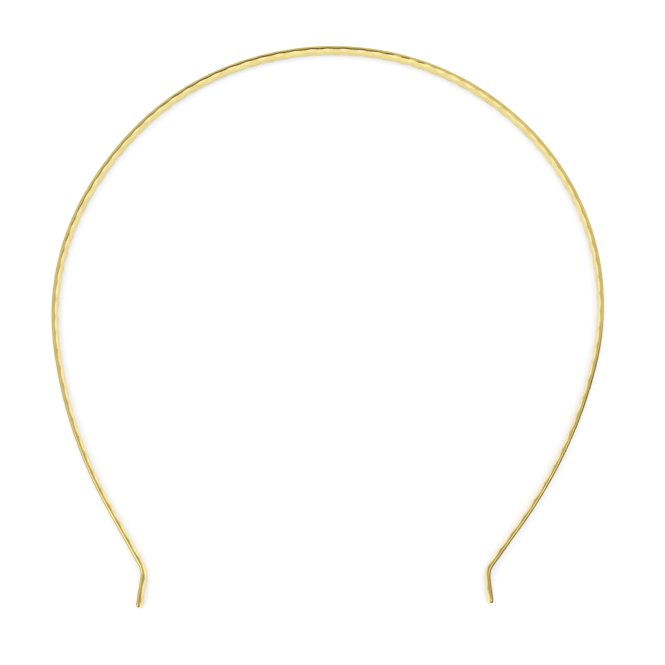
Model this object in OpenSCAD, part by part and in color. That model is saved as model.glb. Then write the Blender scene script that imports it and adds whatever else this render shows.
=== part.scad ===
// Tiara headband: one thin metal strip, formed into an open loop for the head.
// It lies on its side edge. The crown is towards +Y, the two tips are towards -Y.
// A row of raised diamonds runs along the inner face, from tip to tip, with cuts between them.

/* [Strip] */
// Width of the strip, which is the height of the band as it lies
band_w = 3; // [2:0.1:6]
// Thickness of the strip, from the outer face to the top of the diamonds
band_t = 1.15; // [0.9:0.05:1.4]
// Size of the broken corners along both edges
edge_chamfer = 0.25; // [0.15:0.01:0.26]
// How far the middle of the outer face is domed out past its edges
outer_dome = 0.04; // [0:0.01:0.06]

/* [Diamonds] */
// Length of one diamond along the strip
diamond_pitch = 4.4; // [3:0.05:8]
// Height of the diamonds above the deepest places of the cuts between them
diamond_h = 0.2; // [0.08:0.01:0.24]
// Distance along the strip from the top of the crown to the nearest diamond's middle
diamond_shift = -1.75; // [-2.2:0.05:2.2]

/* [Right half, from the crown to the tip] */
// Crown arc: length along the strip, and turn in degrees
right_crown = [33, 31]; // [28:0.5:40]
// Shoulder arc: length and turn
right_shoulder = [44, 37]; // [34:0.5:50]
// Side arc: length and turn
right_side = [44, 36.5]; // [34:0.5:50]
// Curved part of the arm: length and turn
right_arm = [42, 20.5]; // [15:0.5:48]
// Length of the straight end of the arm
right_arm_end = 10.5; // [5:0.5:20]
// Turn of the bend between arm and tip, outwards, in degrees
right_bend = 42.5; // [20:0.5:45]
// Length of the straight tip
right_tip = 5; // [3:0.5:10]

/* [Left half, from the crown to the tip] */
// Crown arc: length along the strip, and turn in degrees
left_crown = [60, 55.5]; // [48:0.5:64]
// Shoulder arc: length and turn
left_shoulder = [22, 15.5]; // [12:0.5:28]
// Side arc: length and turn
left_side = [41, 35]; // [32:0.5:46]
// Curved part of the arm: length and turn
left_arm = [42, 20.5]; // [15:0.5:48]
// Length of the straight end of the arm
left_arm_end = 14; // [5:0.5:20]
// Turn of the bend between arm and tip, outwards, in degrees
left_bend = 38; // [20:0.5:45]
// Length of the straight tip
left_tip = 6; // [3:0.5:10]

/* [Both tips] */
// Length of the strip that is taken up by each bend
bend_length = 3; // [2:0.5:5]
// Length at each end over which the strip is rounded off
tip_round = 0.5; // [0.2:0.1:1]

/* [Hidden] */

// Each row is [length along the strip, turn in degrees]
right_rows = [right_crown, right_shoulder, right_side, right_arm,
    [right_arm_end, 0], [bend_length, -right_bend], [right_tip, 0]];
left_rows = [left_crown, left_shoulder, left_side, left_arm,
    [left_arm_end, 0], [bend_length, -left_bend], [left_tip, 0]];
function row_length(row) = row[0];
function row_turn(row) = row[1];

function total(values, i = 0) = i == len(values) ? 0 : values[i] + total(values, i + 1);
right_length = total([for (row = right_rows) row_length(row)]);
left_length = total([for (row = left_rows) row_length(row)]);

// A place on the middle line is [x, y, heading]. Heading 0 runs along +X, and it grows clockwise.
function chord(length, turn) = turn == 0 ? length : length * sin(turn / 2) / (turn / 2 * PI / 180);
function advance(place, length, turn) =
    let (mean_heading = place[2] + turn / 2, step = chord(length, turn))
    [place[0] + step * cos(mean_heading), place[1] - step * sin(mean_heading), place[2] + turn];

// The place at a distance along one half, counted from the top of the crown
function along(rows, distance, place = [0, 0, 0], i = 0) =
    let (row = rows[i])
    distance <= row_length(row) || i == len(rows) - 1
        ? advance(place, distance, row_turn(row) * distance / row_length(row))
        : along(rows, distance - row_length(row), advance(place, row_length(row), row_turn(row)), i + 1);

// The place on the whole strip: a negative distance is on the left half, which is mirrored
function mirrored(place) = [-place[0], place[1], -place[2]];
function strip_place(distance) =
    distance < 0 ? mirrored(along(left_rows, -distance)) : along(right_rows, distance);

// Height of the inner face: u counts the diamonds along the strip, and v runs from -1 to 1
// across it. Each diamond is flat on top and touches both edges and both its neighbours. Two
// flat cuts fill the corner between two diamonds, and are deepest halfway, at the edge.
function cut_share(u, v) = max(0, 2 * abs(u - round(u)) + abs(v) - 1);
function face_rise(u, v) = diamond_h * (1 - cut_share(u, v));

// Section of the strip as [inwards, up] points: the inner face from its lower to its upper edge,
// then over the top, down the outer face and back below. The broken corners follow the cuts.
cut_face = band_t / 2 - diamond_h;
outer_face = -band_t / 2;
outer_edge = outer_face + outer_dome;
inner_rows = [-1, -0.5, 0, 0.5, 1];
function inner_point(u, v) =
    [cut_face + face_rise(u, v), band_w / 2 + v * (band_w / 2 - edge_chamfer)];
function rim_end(u) = cut_face + face_rise(u, 1) - edge_chamfer;
function section(u) = concat(
    [for (v = inner_rows) inner_point(u, v)],
    [
        [rim_end(u), band_w],
        [outer_edge + edge_chamfer, band_w],
        [outer_edge, band_w - edge_chamfer],
        [outer_face, band_w / 2],
        [outer_edge, edge_chamfer],
        [outer_edge + edge_chamfer, 0],
        [rim_end(u), 0]
    ]);
plain = section(0);
section_points = len(plain);

// Share of the thickness and of the width that is left at the very end of a rounded tip
end_scale = [0.6, 0.88];
middle = [0, band_w / 2];
end_section = [for (p = plain) [for (i = [0, 1]) middle[i] + (p[i] - middle[i]) * end_scale[i]]];

// One ring of points round the strip at a distance along it
function ring(distance, outline) =
    let (place = strip_place(distance), inwards = [-sin(place[2]), -cos(place[2])])
    [for (p = outline) [place[0] + p[0] * inwards[0], place[1] + p[0] * inwards[1], p[1]]];

// Rings of the diamonds, at their ends, middles and quarters, counted from the crown.
// Two plain rings at each end of the strip round it off, clear of the nearest diamond ring.
rings_per_diamond = 4;
ring_step = diamond_pitch / rings_per_diamond;
ring_gap = 0.2;
first_ring = ceil((tip_round + ring_gap - left_length - diamond_shift) / ring_step);
last_ring = floor((right_length - tip_round - ring_gap - diamond_shift) / ring_step);
lead_rings = [ring(-left_length, end_section), ring(tip_round - left_length, plain)];
diamond_rings = [for (j = [first_ring : last_ring])
    ring(diamond_shift + j * ring_step, section(j / rings_per_diamond))];
trail_rings = [ring(right_length - tip_round, plain), ring(right_length, end_section)];
rings = concat(lead_rings, diamond_rings, trail_rings);
points = [for (r = rings) each r];

// Two triangles between rings j and j + 1, with the diagonal along the sides of the diamonds
function cell(j, k) =
    let (next_k = (k + 1) % section_points,
        a = j * section_points + k,
        b = j * section_points + next_k,
        c = b + section_points,
        d = a + section_points,
        u = (first_ring + j - len(lead_rings) + 0.5) / rings_per_diamond,
        v = k + 0.5 - (len(inner_rows) - 1) / 2)
    (u - round(u)) * v > 0 ? [[a, b, d], [b, c, d]] : [[a, b, c], [a, c, d]];

// Each end is closed by a fan of triangles from the middle of the outer face
fan = len(inner_rows) + 3;
function fan_point(i) = (fan + i) % section_points;
last = len(points) - section_points;
faces = concat(
    [for (i = [1 : section_points - 2]) [fan, fan_point(i + 1), fan_point(i)]],
    [for (j = [0 : len(rings) - 2], k = [0 : section_points - 1]) each cell(j, k)],
    [for (i = [1 : section_points - 2]) [last + fan, last + fan_point(i), last + fan_point(i + 1)]]);

// The origin is under the middle of the box that holds the strip
all_x = [for (p = points) p[0]];
all_y = [for (p = points) p[1]];
box_middle = [(min(all_x) + max(all_x)) / 2, (min(all_y) + max(all_y)) / 2, 0];

module band() {
    color("gold")
        translate(-box_middle)
            polyhedron(points = points, faces = faces, convexity = 6);
}

band();
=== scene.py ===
import math

import bmesh
import bpy
from mathutils import Matrix, Vector


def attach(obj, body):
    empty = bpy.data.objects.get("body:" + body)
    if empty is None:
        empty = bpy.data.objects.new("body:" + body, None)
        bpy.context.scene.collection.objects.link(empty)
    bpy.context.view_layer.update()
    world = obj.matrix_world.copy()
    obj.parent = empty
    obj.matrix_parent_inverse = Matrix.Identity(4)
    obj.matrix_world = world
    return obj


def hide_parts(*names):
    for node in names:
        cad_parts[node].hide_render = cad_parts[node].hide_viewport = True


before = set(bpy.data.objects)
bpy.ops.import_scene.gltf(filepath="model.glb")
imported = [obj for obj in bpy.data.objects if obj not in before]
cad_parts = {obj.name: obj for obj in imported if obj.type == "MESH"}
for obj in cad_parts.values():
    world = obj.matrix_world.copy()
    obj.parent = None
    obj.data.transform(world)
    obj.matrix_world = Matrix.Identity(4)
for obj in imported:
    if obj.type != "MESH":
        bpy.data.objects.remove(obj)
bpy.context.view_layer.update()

mm = 0.001  # sizes below are in millimetres, and Blender's unit is the metre
tiny = 0.0001  # less than this apart counts as the same place
outlineSlack = 0.02  # of half a diamond, well under one row of the mesh


def linear(hexColour):  # "#rrggbb" in sRGB to the linear colour that a node takes
    channels = [int(hexColour[i:i + 2], 16) / 255 for i in (1, 3, 5)]
    return [c / 12.92 if c <= 0.04045 else ((c + 0.055) / 1.055) ** 2.4 for c in channels] + [1]


def inUse(sockets, key):  # a socket by its place, or by its name among those that the node uses
    if isinstance(key, int):
        return sockets[key]
    return next(s for s in sockets if s.enabled and s.name == key)


def addNode(tree, kind, settings=None, links=None):  # keys are a node's settings, or its inputs
    node = tree.nodes.new("ShaderNode" + kind)
    for key, value in (settings or {}).items():
        if isinstance(key, str) and hasattr(node, key):
            setattr(node, key, value)
        else:
            inUse(node.inputs, key).default_value = value
    for key, source in (links or {}).items():
        if isinstance(source, bpy.types.Node):  # a whole node stands for its first output in use
            source = next(s for s in source.outputs if s.enabled)
        tree.links.new(source, inUse(node.inputs, key))
    return node


def emptyMaterial(name):
    material = bpy.data.materials.new(name)
    material.use_nodes = True
    material.node_tree.nodes.clear()
    return material


def addObject(name, bm, material):
    mesh = bpy.data.meshes.new(name)
    bm.to_mesh(mesh)
    bm.free()
    mesh.materials.append(material)
    made = bpy.data.objects.new(name, mesh)
    bpy.context.scene.collection.objects.link(made)
    return made


band = {
    "stripWidth": 3.0,
    "stripThickness": 1.15,  # from the outer face to the top of the diamonds
    # rounding of the corners, in the thickness and in the width of the strip
    "outerCorner": (0.55, 0.35),
    "innerCorner": (0.25, 0.45),
    "outerDome": 0.04,  # how far the middle of the outer face stands out past its edges
    "rimDome": 0.07,  # how far both rims fall off towards the two faces
    "diamondPitch": 4.4,
    "diamondHeight": 0.2,  # above the deepest places of the cuts between them
    "diamondShift": -1.75,  # from the top of the crown to the nearest diamond's middle
    "diamondCrown": 0.015,  # how far the tops are domed
    "tipRadius": 0.12,  # of the rounded edge round each end
    "tipRound": 0.6,  # length over which each end is drawn in
    "tipScale": (0.6, 0.88),  # share of thickness and width left at the very end
    "tipPlain": 0.4,  # length over which the cuts fade out at each end
    # length along the strip and turn in degrees, from the crown to each tip
    "rightRows": [(33, 31), (44, 37), (44, 36.5), (42, 20.5), (10.5, 0), (3, -42.5), (5, 0)],
    "leftRows": [(60, 55.5), (22, 15.5), (41, 35), (42, 20.5), (14, 0), (3, -38), (6, 0)],
    "crown": (0.026, 71.877),  # where the middle line starts
    # fineness of the mesh
    "stationsPerDiamond": 22,
    "rowsAcross": 16,  # on the flat of the inner face
    "outerRows": 4,
    "rimRows": 2,
    "cornerSteps": 5,
    "tipSteps": 3,
}
rightLength = sum(length for length, turn in band["rightRows"])
leftLength = sum(length for length, turn in band["leftRows"])
innerFace = band["stripThickness"] / 2
outerFace = -innerFace
middleHeight = band["stripWidth"] / 2
flatHalf = middleHeight - band["innerCorner"][1]
rowStep = 2 * flatHalf / band["rowsAcross"]
# as many rows as stations in half a diamond, so its outline runs through corners of the mesh
diamondRows = band["stationsPerDiamond"] / 2
stationStep = band["diamondPitch"] / band["stationsPerDiamond"]


def pathPlace(distance):  # place and heading on the middle line, clockwise from +X
    rows, side = (band["leftRows"], -1) if distance < 0 else (band["rightRows"], 1)
    left, x, y, heading = abs(distance), 0.0, 0.0, 0.0
    for length, turn in rows:
        step = min(left, length)
        part = math.radians(turn) * step / length
        chord = step * math.sin(part / 2) / (part / 2) if part else step
        x += chord * math.cos(heading + part / 2)
        y -= chord * math.sin(heading + part / 2)
        heading += part
        left -= step
    return band["crown"][0] + side * x, band["crown"][1] + y, side * heading


def rowOf(point):  # rows of the mesh from the middle of the inner face, on round its corners
    across = abs(point.z - middleHeight)
    if across < flatHalf + tiny:
        return across / rowStep
    deep, high = band["innerCorner"]
    inwards = (point.x - (innerFace - deep)) / deep
    turned = math.atan2((across - flatHalf) / high, max(inwards, tiny)) / (math.pi / 2)
    return band["rowsAcross"] / 2 + turned * band["cornerSteps"]


def insideDiamond(distance, row):  # 1 in a diamond's middle, 0 on its outline, less outside it
    u = (distance - band["diamondShift"]) / band["diamondPitch"]
    return 1 - 2 * abs(u - round(u)) - min(row / diamondRows, 1)


def straightStrip():  # X runs inwards from the middle line, Y along the strip, Z up
    # stations keep to the diamonds' pattern, so the first and last are just short of the ends
    stationsLeft = math.floor((leftLength + band["diamondShift"]) / stationStep)
    stationsRight = math.floor((rightLength - band["diamondShift"]) / stationStep)
    start = band["diamondShift"] - stationsLeft * stationStep
    end = band["diamondShift"] + stationsRight * stationStep
    bm = bmesh.new()
    bmesh.ops.create_grid(bm, x_segments=1, y_segments=1, size=0.5,
                          matrix=Matrix.Rotation(math.pi / 2, 4, "X"))
    bmesh.ops.scale(bm, vec=(band["stripThickness"], 1, band["stripWidth"]), verts=bm.verts)
    bmesh.ops.translate(bm, vec=(0, start, middleHeight), verts=bm.verts)
    for face, (deep, high) in ((innerFace, band["innerCorner"]), (outerFace, band["outerCorner"])):
        corners = [v for v in bm.verts if abs(v.co.x - face) < tiny]
        bmesh.ops.bevel(bm, geom=corners, offset=high, offset_type="OFFSET",
                        segments=band["cornerSteps"], profile=0.5, affect="VERTICES", material=-1)
        for v in bm.verts:  # the quarter circles become quarter ellipses
            if abs(v.co.x - face) < high + tiny:
                v.co.x = face + (v.co.x - face) * deep / high
    # rows on both faces and both rims
    for face, rows in ((innerFace, band["rowsAcross"]), (outerFace, band["outerRows"])):
        side = [e for e in bm.edges if all(abs(v.co.x - face) < tiny for v in e.verts)]
        bmesh.ops.subdivide_edges(bm, edges=side, cuts=rows - 1)
    for rim in (0, band["stripWidth"]):
        side = [e for e in bm.edges if all(abs(v.co.z - rim) < tiny for v in e.verts)]
        bmesh.ops.subdivide_edges(bm, edges=side, cuts=band["rimRows"] - 1)
    pulled = bmesh.ops.extrude_face_region(bm, geom=bm.faces[:])
    bmesh.ops.translate(bm, vec=(0, end - start, 0),
                        verts=[v for v in pulled["geom"] if isinstance(v, bmesh.types.BMVert)])
    # stations along the strip, of which the two outer ones move out to its real ends
    longEdges = [e for e in bm.edges if e.calc_length() > leftLength]
    bmesh.ops.subdivide_edges(bm, edges=longEdges, cuts=stationsLeft + stationsRight - 1,
                              use_grid_fill=True)
    for v in bm.verts:
        if v.co.y < start + tiny:
            v.co.y = -leftLength
        elif v.co.y > end - tiny:
            v.co.y = rightLength
    ends = [e for e in bm.edges
            if all(v.co.y < tiny - leftLength for v in e.verts)
            or all(v.co.y > rightLength - tiny for v in e.verts)]
    bmesh.ops.bevel(bm, geom=ends, offset=band["tipRadius"], offset_type="OFFSET",
                    segments=band["tipSteps"], profile=0.5, affect="EDGES", material=-1,
                    clamp_overlap=False)
    bmesh.ops.recalc_face_normals(bm, faces=bm.faces)
    return bm


def cutDiamonds(bm):  # flat tops that touch both edges and each other, with cuts between them
    # the gold reads these: the place along and around the strip, and how far inside a diamond
    along = bm.verts.layers.float.new("along")
    around = bm.verts.layers.float.new("around")
    diamond = bm.verts.layers.float.new("diamond")
    rimStart = outerFace + band["outerCorner"][0]
    rimEnd = innerFace - band["innerCorner"][0]
    outline = []
    for v in bm.verts:
        v[along] = v.co.y
        v[around] = v.co.z if v.co.x > 0 else -v.co.z
        v[diamond] = -1
        share = min((v.co.x - rimStart) / (rimEnd - rimStart), 1)  # the rims follow in part
        if share < tiny:
            continue
        inside = insideDiamond(v.co.y, rowOf(v.co))
        if v.co.x > rimEnd - tiny:
            v[diamond] = inside
        clear = min(v.co.y + leftLength, rightLength - v.co.y) - band["tipRadius"]
        fade = min(max(clear / band["tipPlain"], 0), 1)
        if fade > 0 and abs(inside) < outlineSlack:
            outline.append(v)
        v.co.x += fade * share * (band["diamondHeight"] * min(inside, 0)
                                  + band["diamondCrown"] * (1 - (1 - max(inside, 0)) ** 2))
    faces = len(bm.faces)
    bmesh.ops.connect_verts(bm, verts=outline)  # real edges along the diamonds' sides
    print("band: faces split along the diamonds", len(bm.faces) - faces)


def domeSides(bm):  # both rims and the outer face
    for v in bm.verts:
        across = v.co.z / middleHeight - 1
        inwards = min(v.co.x / innerFace, 1)
        v.co.z -= band["rimDome"] * inwards ** 2 * across
        if inwards < -tiny:
            v.co.x += band["outerDome"] * across ** 2


def roundTips(bm):  # each end is drawn in towards its middle, along a quarter circle
    for v in bm.verts:
        clear = min(v.co.y + leftLength, rightLength - v.co.y) / band["tipRound"]
        if clear < 1:
            taken = 1 - math.sqrt(1 - (1 - max(clear, 0)) ** 2)
            v.co.x *= 1 - taken * (1 - band["tipScale"][0])
            v.co.z += (middleHeight - v.co.z) * taken * (1 - band["tipScale"][1])


def bendStrip(bm):
    for v in bm.verts:
        inwards, distance = v.co.x, v.co.y
        x, y, heading = pathPlace(distance)
        v.co.x = x - math.sin(heading) * inwards
        v.co.y = y - math.cos(heading) * inwards
    bmesh.ops.scale(bm, vec=(mm, mm, mm), verts=bm.verts)
    bmesh.ops.recalc_face_normals(bm, faces=bm.faces)


goldLook = {
    "tones": ("#f3e397", "#edd88a"),
    "toneSize": 6.0,
    "toneSpread": (0.35, 0.65),  # part of the noise over which one tone turns into the other
    "paintedCutReflection": "#f3e49a",  # painted reflection: the cuts between the diamonds made paler, as if they mirrored the bright paper
    "cutEnd": (-0.85, -0.75),  # the painted reflection in the cuts fades out here, before the -1 of all other faces
    "paintedCreaseShade": "#e0c684",  # painted shade in the creases along the diamonds' sides
    "creaseWidth": 0.08,  # of half a diamond, on each side of the outline
    "creaseRoughness": 0.3,
    "roughness": (0.09, 0.17),  # lowest and highest
    "roughnessSpread": (0.3, 0.7),  # part of the noise over which it changes
    # scratches' length and width, and the grain: coarser than real ones, to show close by
    "scratch": (2.5, 0.04),
    "scratchDetail": 3.0,
    "grain": 0.12,
    "bumpHeight": 0.004,
}


# brass with a thin bright gold plating: a warm mirror, made paler in the cuts between the diamonds
# by a painted reflection, browner in the creases round them by painted shade and duller there,
# with fine polishing scratches along the strip
def makeGold():
    material = emptyMaterial("goldPlatedBrass")
    tree = material.node_tree
    place = addNode(tree, "TexCoord").outputs["Object"]
    along, around, inside = [addNode(tree, "Attribute", {"attribute_name": name}).outputs["Fac"]
                             for name in ("along", "around", "diamond")]
    clouds, grain = [addNode(tree, "TexNoise", {"Scale": 1 / (size * mm)}, {"Vector": place})
                     for size in (goldLook["toneSize"], goldLook["grain"])]
    strip = addNode(tree, "CombineXYZ", links={"X": along, "Y": around})
    stretch = (1 / goldLook["scratch"][0], 1 / goldLook["scratch"][1], 1)
    strip = addNode(tree, "VectorMath", {"operation": "MULTIPLY", 1: stretch}, {0: strip})
    scratches = addNode(tree, "TexNoise", {"Scale": 1.0, "Detail": goldLook["scratchDetail"]},
                        {"Vector": strip})

    width = goldLook["creaseWidth"]
    offOutline = addNode(tree, "Math", {"operation": "ABSOLUTE"}, {0: inside})
    crease = addNode(tree, "MapRange", {"From Max": width, "To Min": 1, "To Max": 0},
                     {"Value": offOutline})
    pastCrease = addNode(tree, "MapRange", {"From Min": -width / 2, "From Max": -width},
                         {"Value": inside})
    low, high = goldLook["cutEnd"]
    beforeEnd = addNode(tree, "MapRange", {"From Min": low, "From Max": high}, {"Value": inside})
    cut = addNode(tree, "Math", {"operation": "MULTIPLY"}, {0: pastCrease, 1: beforeEnd})

    low, high = goldLook["toneSpread"]
    clouds = addNode(tree, "MapRange", {"From Min": low, "From Max": high}, {"Value": clouds})
    first, second = [linear(tone) for tone in goldLook["tones"]]
    colour = addNode(tree, "Mix", {"data_type": "RGBA", "A": first, "B": second},
                     {"Factor": clouds})
    # the cuts get a painted reflection, the creases painted shade
    for mask, tone in ((cut, "paintedCutReflection"), (crease, "paintedCreaseShade")):
        colour = addNode(tree, "Mix", {"data_type": "RGBA", "B": linear(goldLook[tone])},
                         {"Factor": mask, "A": colour})

    low, high = goldLook["roughnessSpread"]
    smooth, dull = goldLook["roughness"]
    roughness = addNode(tree, "MapRange", {"From Min": low, "From Max": high,
                                           "To Min": smooth, "To Max": dull},
                        {"Value": scratches})
    roughness = addNode(tree, "Mix", {"data_type": "FLOAT", "B": goldLook["creaseRoughness"]},
                        {"Factor": crease, "A": roughness})
    relief = addNode(tree, "Math", {"operation": "ADD"}, {0: scratches, 1: grain})
    bump = addNode(tree, "Bump", {"Distance": goldLook["bumpHeight"] * mm}, {"Height": relief})
    shader = addNode(tree, "BsdfPrincipled", {"Metallic": 1.0},
                     {"Base Color": colour, "Roughness": roughness, "Normal": bump})
    addNode(tree, "OutputMaterial", links={"Surface": shader})
    return material


print("band: straight strip")
bm = straightStrip()
print("band: diamonds and the cuts between them")
cutDiamonds(bm)
print("band: domed sides and round tips")
domeSides(bm)
roundTips(bm)
print("band: bent into its loop")
bendStrip(bm)
for face in bm.faces:
    face.smooth = True
print("band: gold plating")
bandPiece = addObject("bandStrip", bm, makeGold())
print("band: faces", len(bandPiece.data.polygons))
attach(bandPiece, "root")
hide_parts("band")

print("studio: paper")
paperLook = {
    "halfSide": 4000,
    "colour": "#f1f3fa",
    "roughness": 0.9,
    "glow": (0.22, "#eaf0ff"),  # painted glow: the paper gives off light of its own, as if lit through from below, which fills the shadows
}
# plain matt paper: an even, nearly white ground, with faint and slightly cool shadows, lightened
# by its own painted glow
paper = emptyMaterial("whitePaper")
glow, glowTint = paperLook["glow"]
matt = addNode(paper.node_tree, "BsdfPrincipled",
               {"Base Color": linear(paperLook["colour"]), "Roughness": paperLook["roughness"],
                "Emission Color": linear(glowTint), "Emission Strength": glow})
addNode(paper.node_tree, "OutputMaterial", links={"Surface": matt})
bm = bmesh.new()
bmesh.ops.create_grid(bm, x_segments=1, y_segments=1, size=paperLook["halfSide"] * mm)
floor = addObject("floor", bm, paper)

room = {
    "walls": (0.76, "#fff5e0"),  # brightness and tint of the warm walls and ceiling
    # soft boxes and dark cards, each over the ones before it: azimuth (0 behind the crown, 90 at
    # its right), half-width, lowest and highest elevation and soft border in degrees, then
    # brightness and tint
    "cards": [
        (0, 200, -20, 20, 12, 0.42, "#fff0dc"),
        (0, 200, 66, 100, 8, 0.42, "#fff0dc"),
        (222, 16, -5, 60, 10, 0.85, "#ffffff"),
        (256, 18, 36, 68, 10, 1.4, "#ffffff"),
        (252, 26, -20, 28, 8, 0.38, "#ffe8e0"),
        (94, 18, 50, 67, 7, 1.6, "#ffffff"),
        (157, 50, -20, 63, 8, 0.015, "#ff9a9a"),
        (92, 20, -20, 46, 6, 0.03, "#ffc8b4"),
    ],
    "sky": 1.2,  # even white light from above, which falls on the paper only
    "backdrop": 0.98,  # all that the camera itself sees behind the table
}


def tinted(strength, tint):  # the colour that a card or wall gives off
    return [strength * c for c in linear(tint)]


def within(tree, value, low, high, border):  # 1 from low to high, fading over a soft border
    rise, fall = [addNode(tree, "MapRange", {"interpolation_type": "SMOOTHSTEP",
                                             "From Min": edge - border / 2,
                                             "From Max": edge + border / 2,
                                             "To Min": before, "To Max": 1 - before},
                          {"Value": value})
                  for edge, before in ((low, 0), (high, 1))]
    return addNode(tree, "Math", {"operation": "MULTIPLY"}, {0: rise, 1: fall})


def makeRoom():  # the light, and what the gold mirrors
    world = bpy.data.worlds.new("softStudio")
    world.use_nodes = True
    tree = world.node_tree
    tree.nodes.clear()
    direction = addNode(tree, "TexCoord").outputs["Generated"]
    height = addNode(tree, "SeparateXYZ", links={"Vector": direction}).outputs["Z"]
    elevation = addNode(tree, "Math", {"operation": "ARCSINE"}, {0: height})
    elevation = addNode(tree, "Math", {"operation": "DEGREES"}, {0: elevation})
    level = addNode(tree, "VectorMath", {"operation": "MULTIPLY", 1: (1, 1, 0)}, {0: direction})
    level = addNode(tree, "VectorMath", {"operation": "NORMALIZE"}, {0: level})
    light = addNode(tree, "RGB").outputs["Color"]
    light.default_value = tinted(*room["walls"])
    for azimuth, halfWidth, low, high, border, strength, tint in room["cards"]:
        turn = math.radians(azimuth)
        towards = (math.sin(turn), math.cos(turn), 0)
        cosine = addNode(tree, "VectorMath", {"operation": "DOT_PRODUCT", 1: towards}, {0: level})
        aside = addNode(tree, "Math", {"operation": "ARCCOSINE"}, {0: cosine})
        aside = addNode(tree, "Math", {"operation": "DEGREES"}, {0: aside})
        cover = addNode(tree, "Math", {"operation": "MULTIPLY"},
                        {0: within(tree, aside, -border, halfWidth, border),
                         1: within(tree, elevation, low, high, border)})
        light = addNode(tree, "Mix", {"data_type": "RGBA", "B": tinted(strength, tint)},
                        {"Factor": cover, "A": light})
    rays = addNode(tree, "LightPath")
    for kind, strength in (("Is Diffuse Ray", room["sky"]), ("Is Camera Ray", room["backdrop"])):
        light = addNode(tree, "Mix", {"data_type": "RGBA", "B": [strength] * 3 + [1]},
                        {"Factor": rays.outputs[kind], "A": light})
    sky = addNode(tree, "Background", links={"Color": light})
    addNode(tree, "OutputWorld", links={"Surface": sky})
    return world


print("studio: light and room")
bpy.context.scene.world = makeRoom()
bpy.context.scene.view_settings.view_transform = "Standard"

print("studio: camera")
view = {
    "place": (11.767, -86.601, 200.366),
    "aim": (2.15, -7.855, 0.0),
    "roll": -3.7,
    "lens": 49.696,
    "sensorWidth": 36,
    "nearest": 10,  # what is closer to the camera isn't drawn
}
cameraData = bpy.data.cameras.new("camera")
cameraData.lens = view["lens"]
cameraData.sensor_width = view["sensorWidth"]
cameraData.clip_start = view["nearest"] * mm
camera = bpy.data.objects.new("camera", cameraData)
bpy.context.scene.collection.objects.link(camera)
cameraPlace = Vector(view["place"]) * mm
look = (Vector(view["aim"]) * mm - cameraPlace).to_track_quat("-Z", "Y").to_matrix().to_4x4()
roll = Matrix.Rotation(math.radians(view["roll"]), 4, "Z")
camera.matrix_world = Matrix.Translation(cameraPlace) @ look @ roll
bpy.context.scene.camera = camera
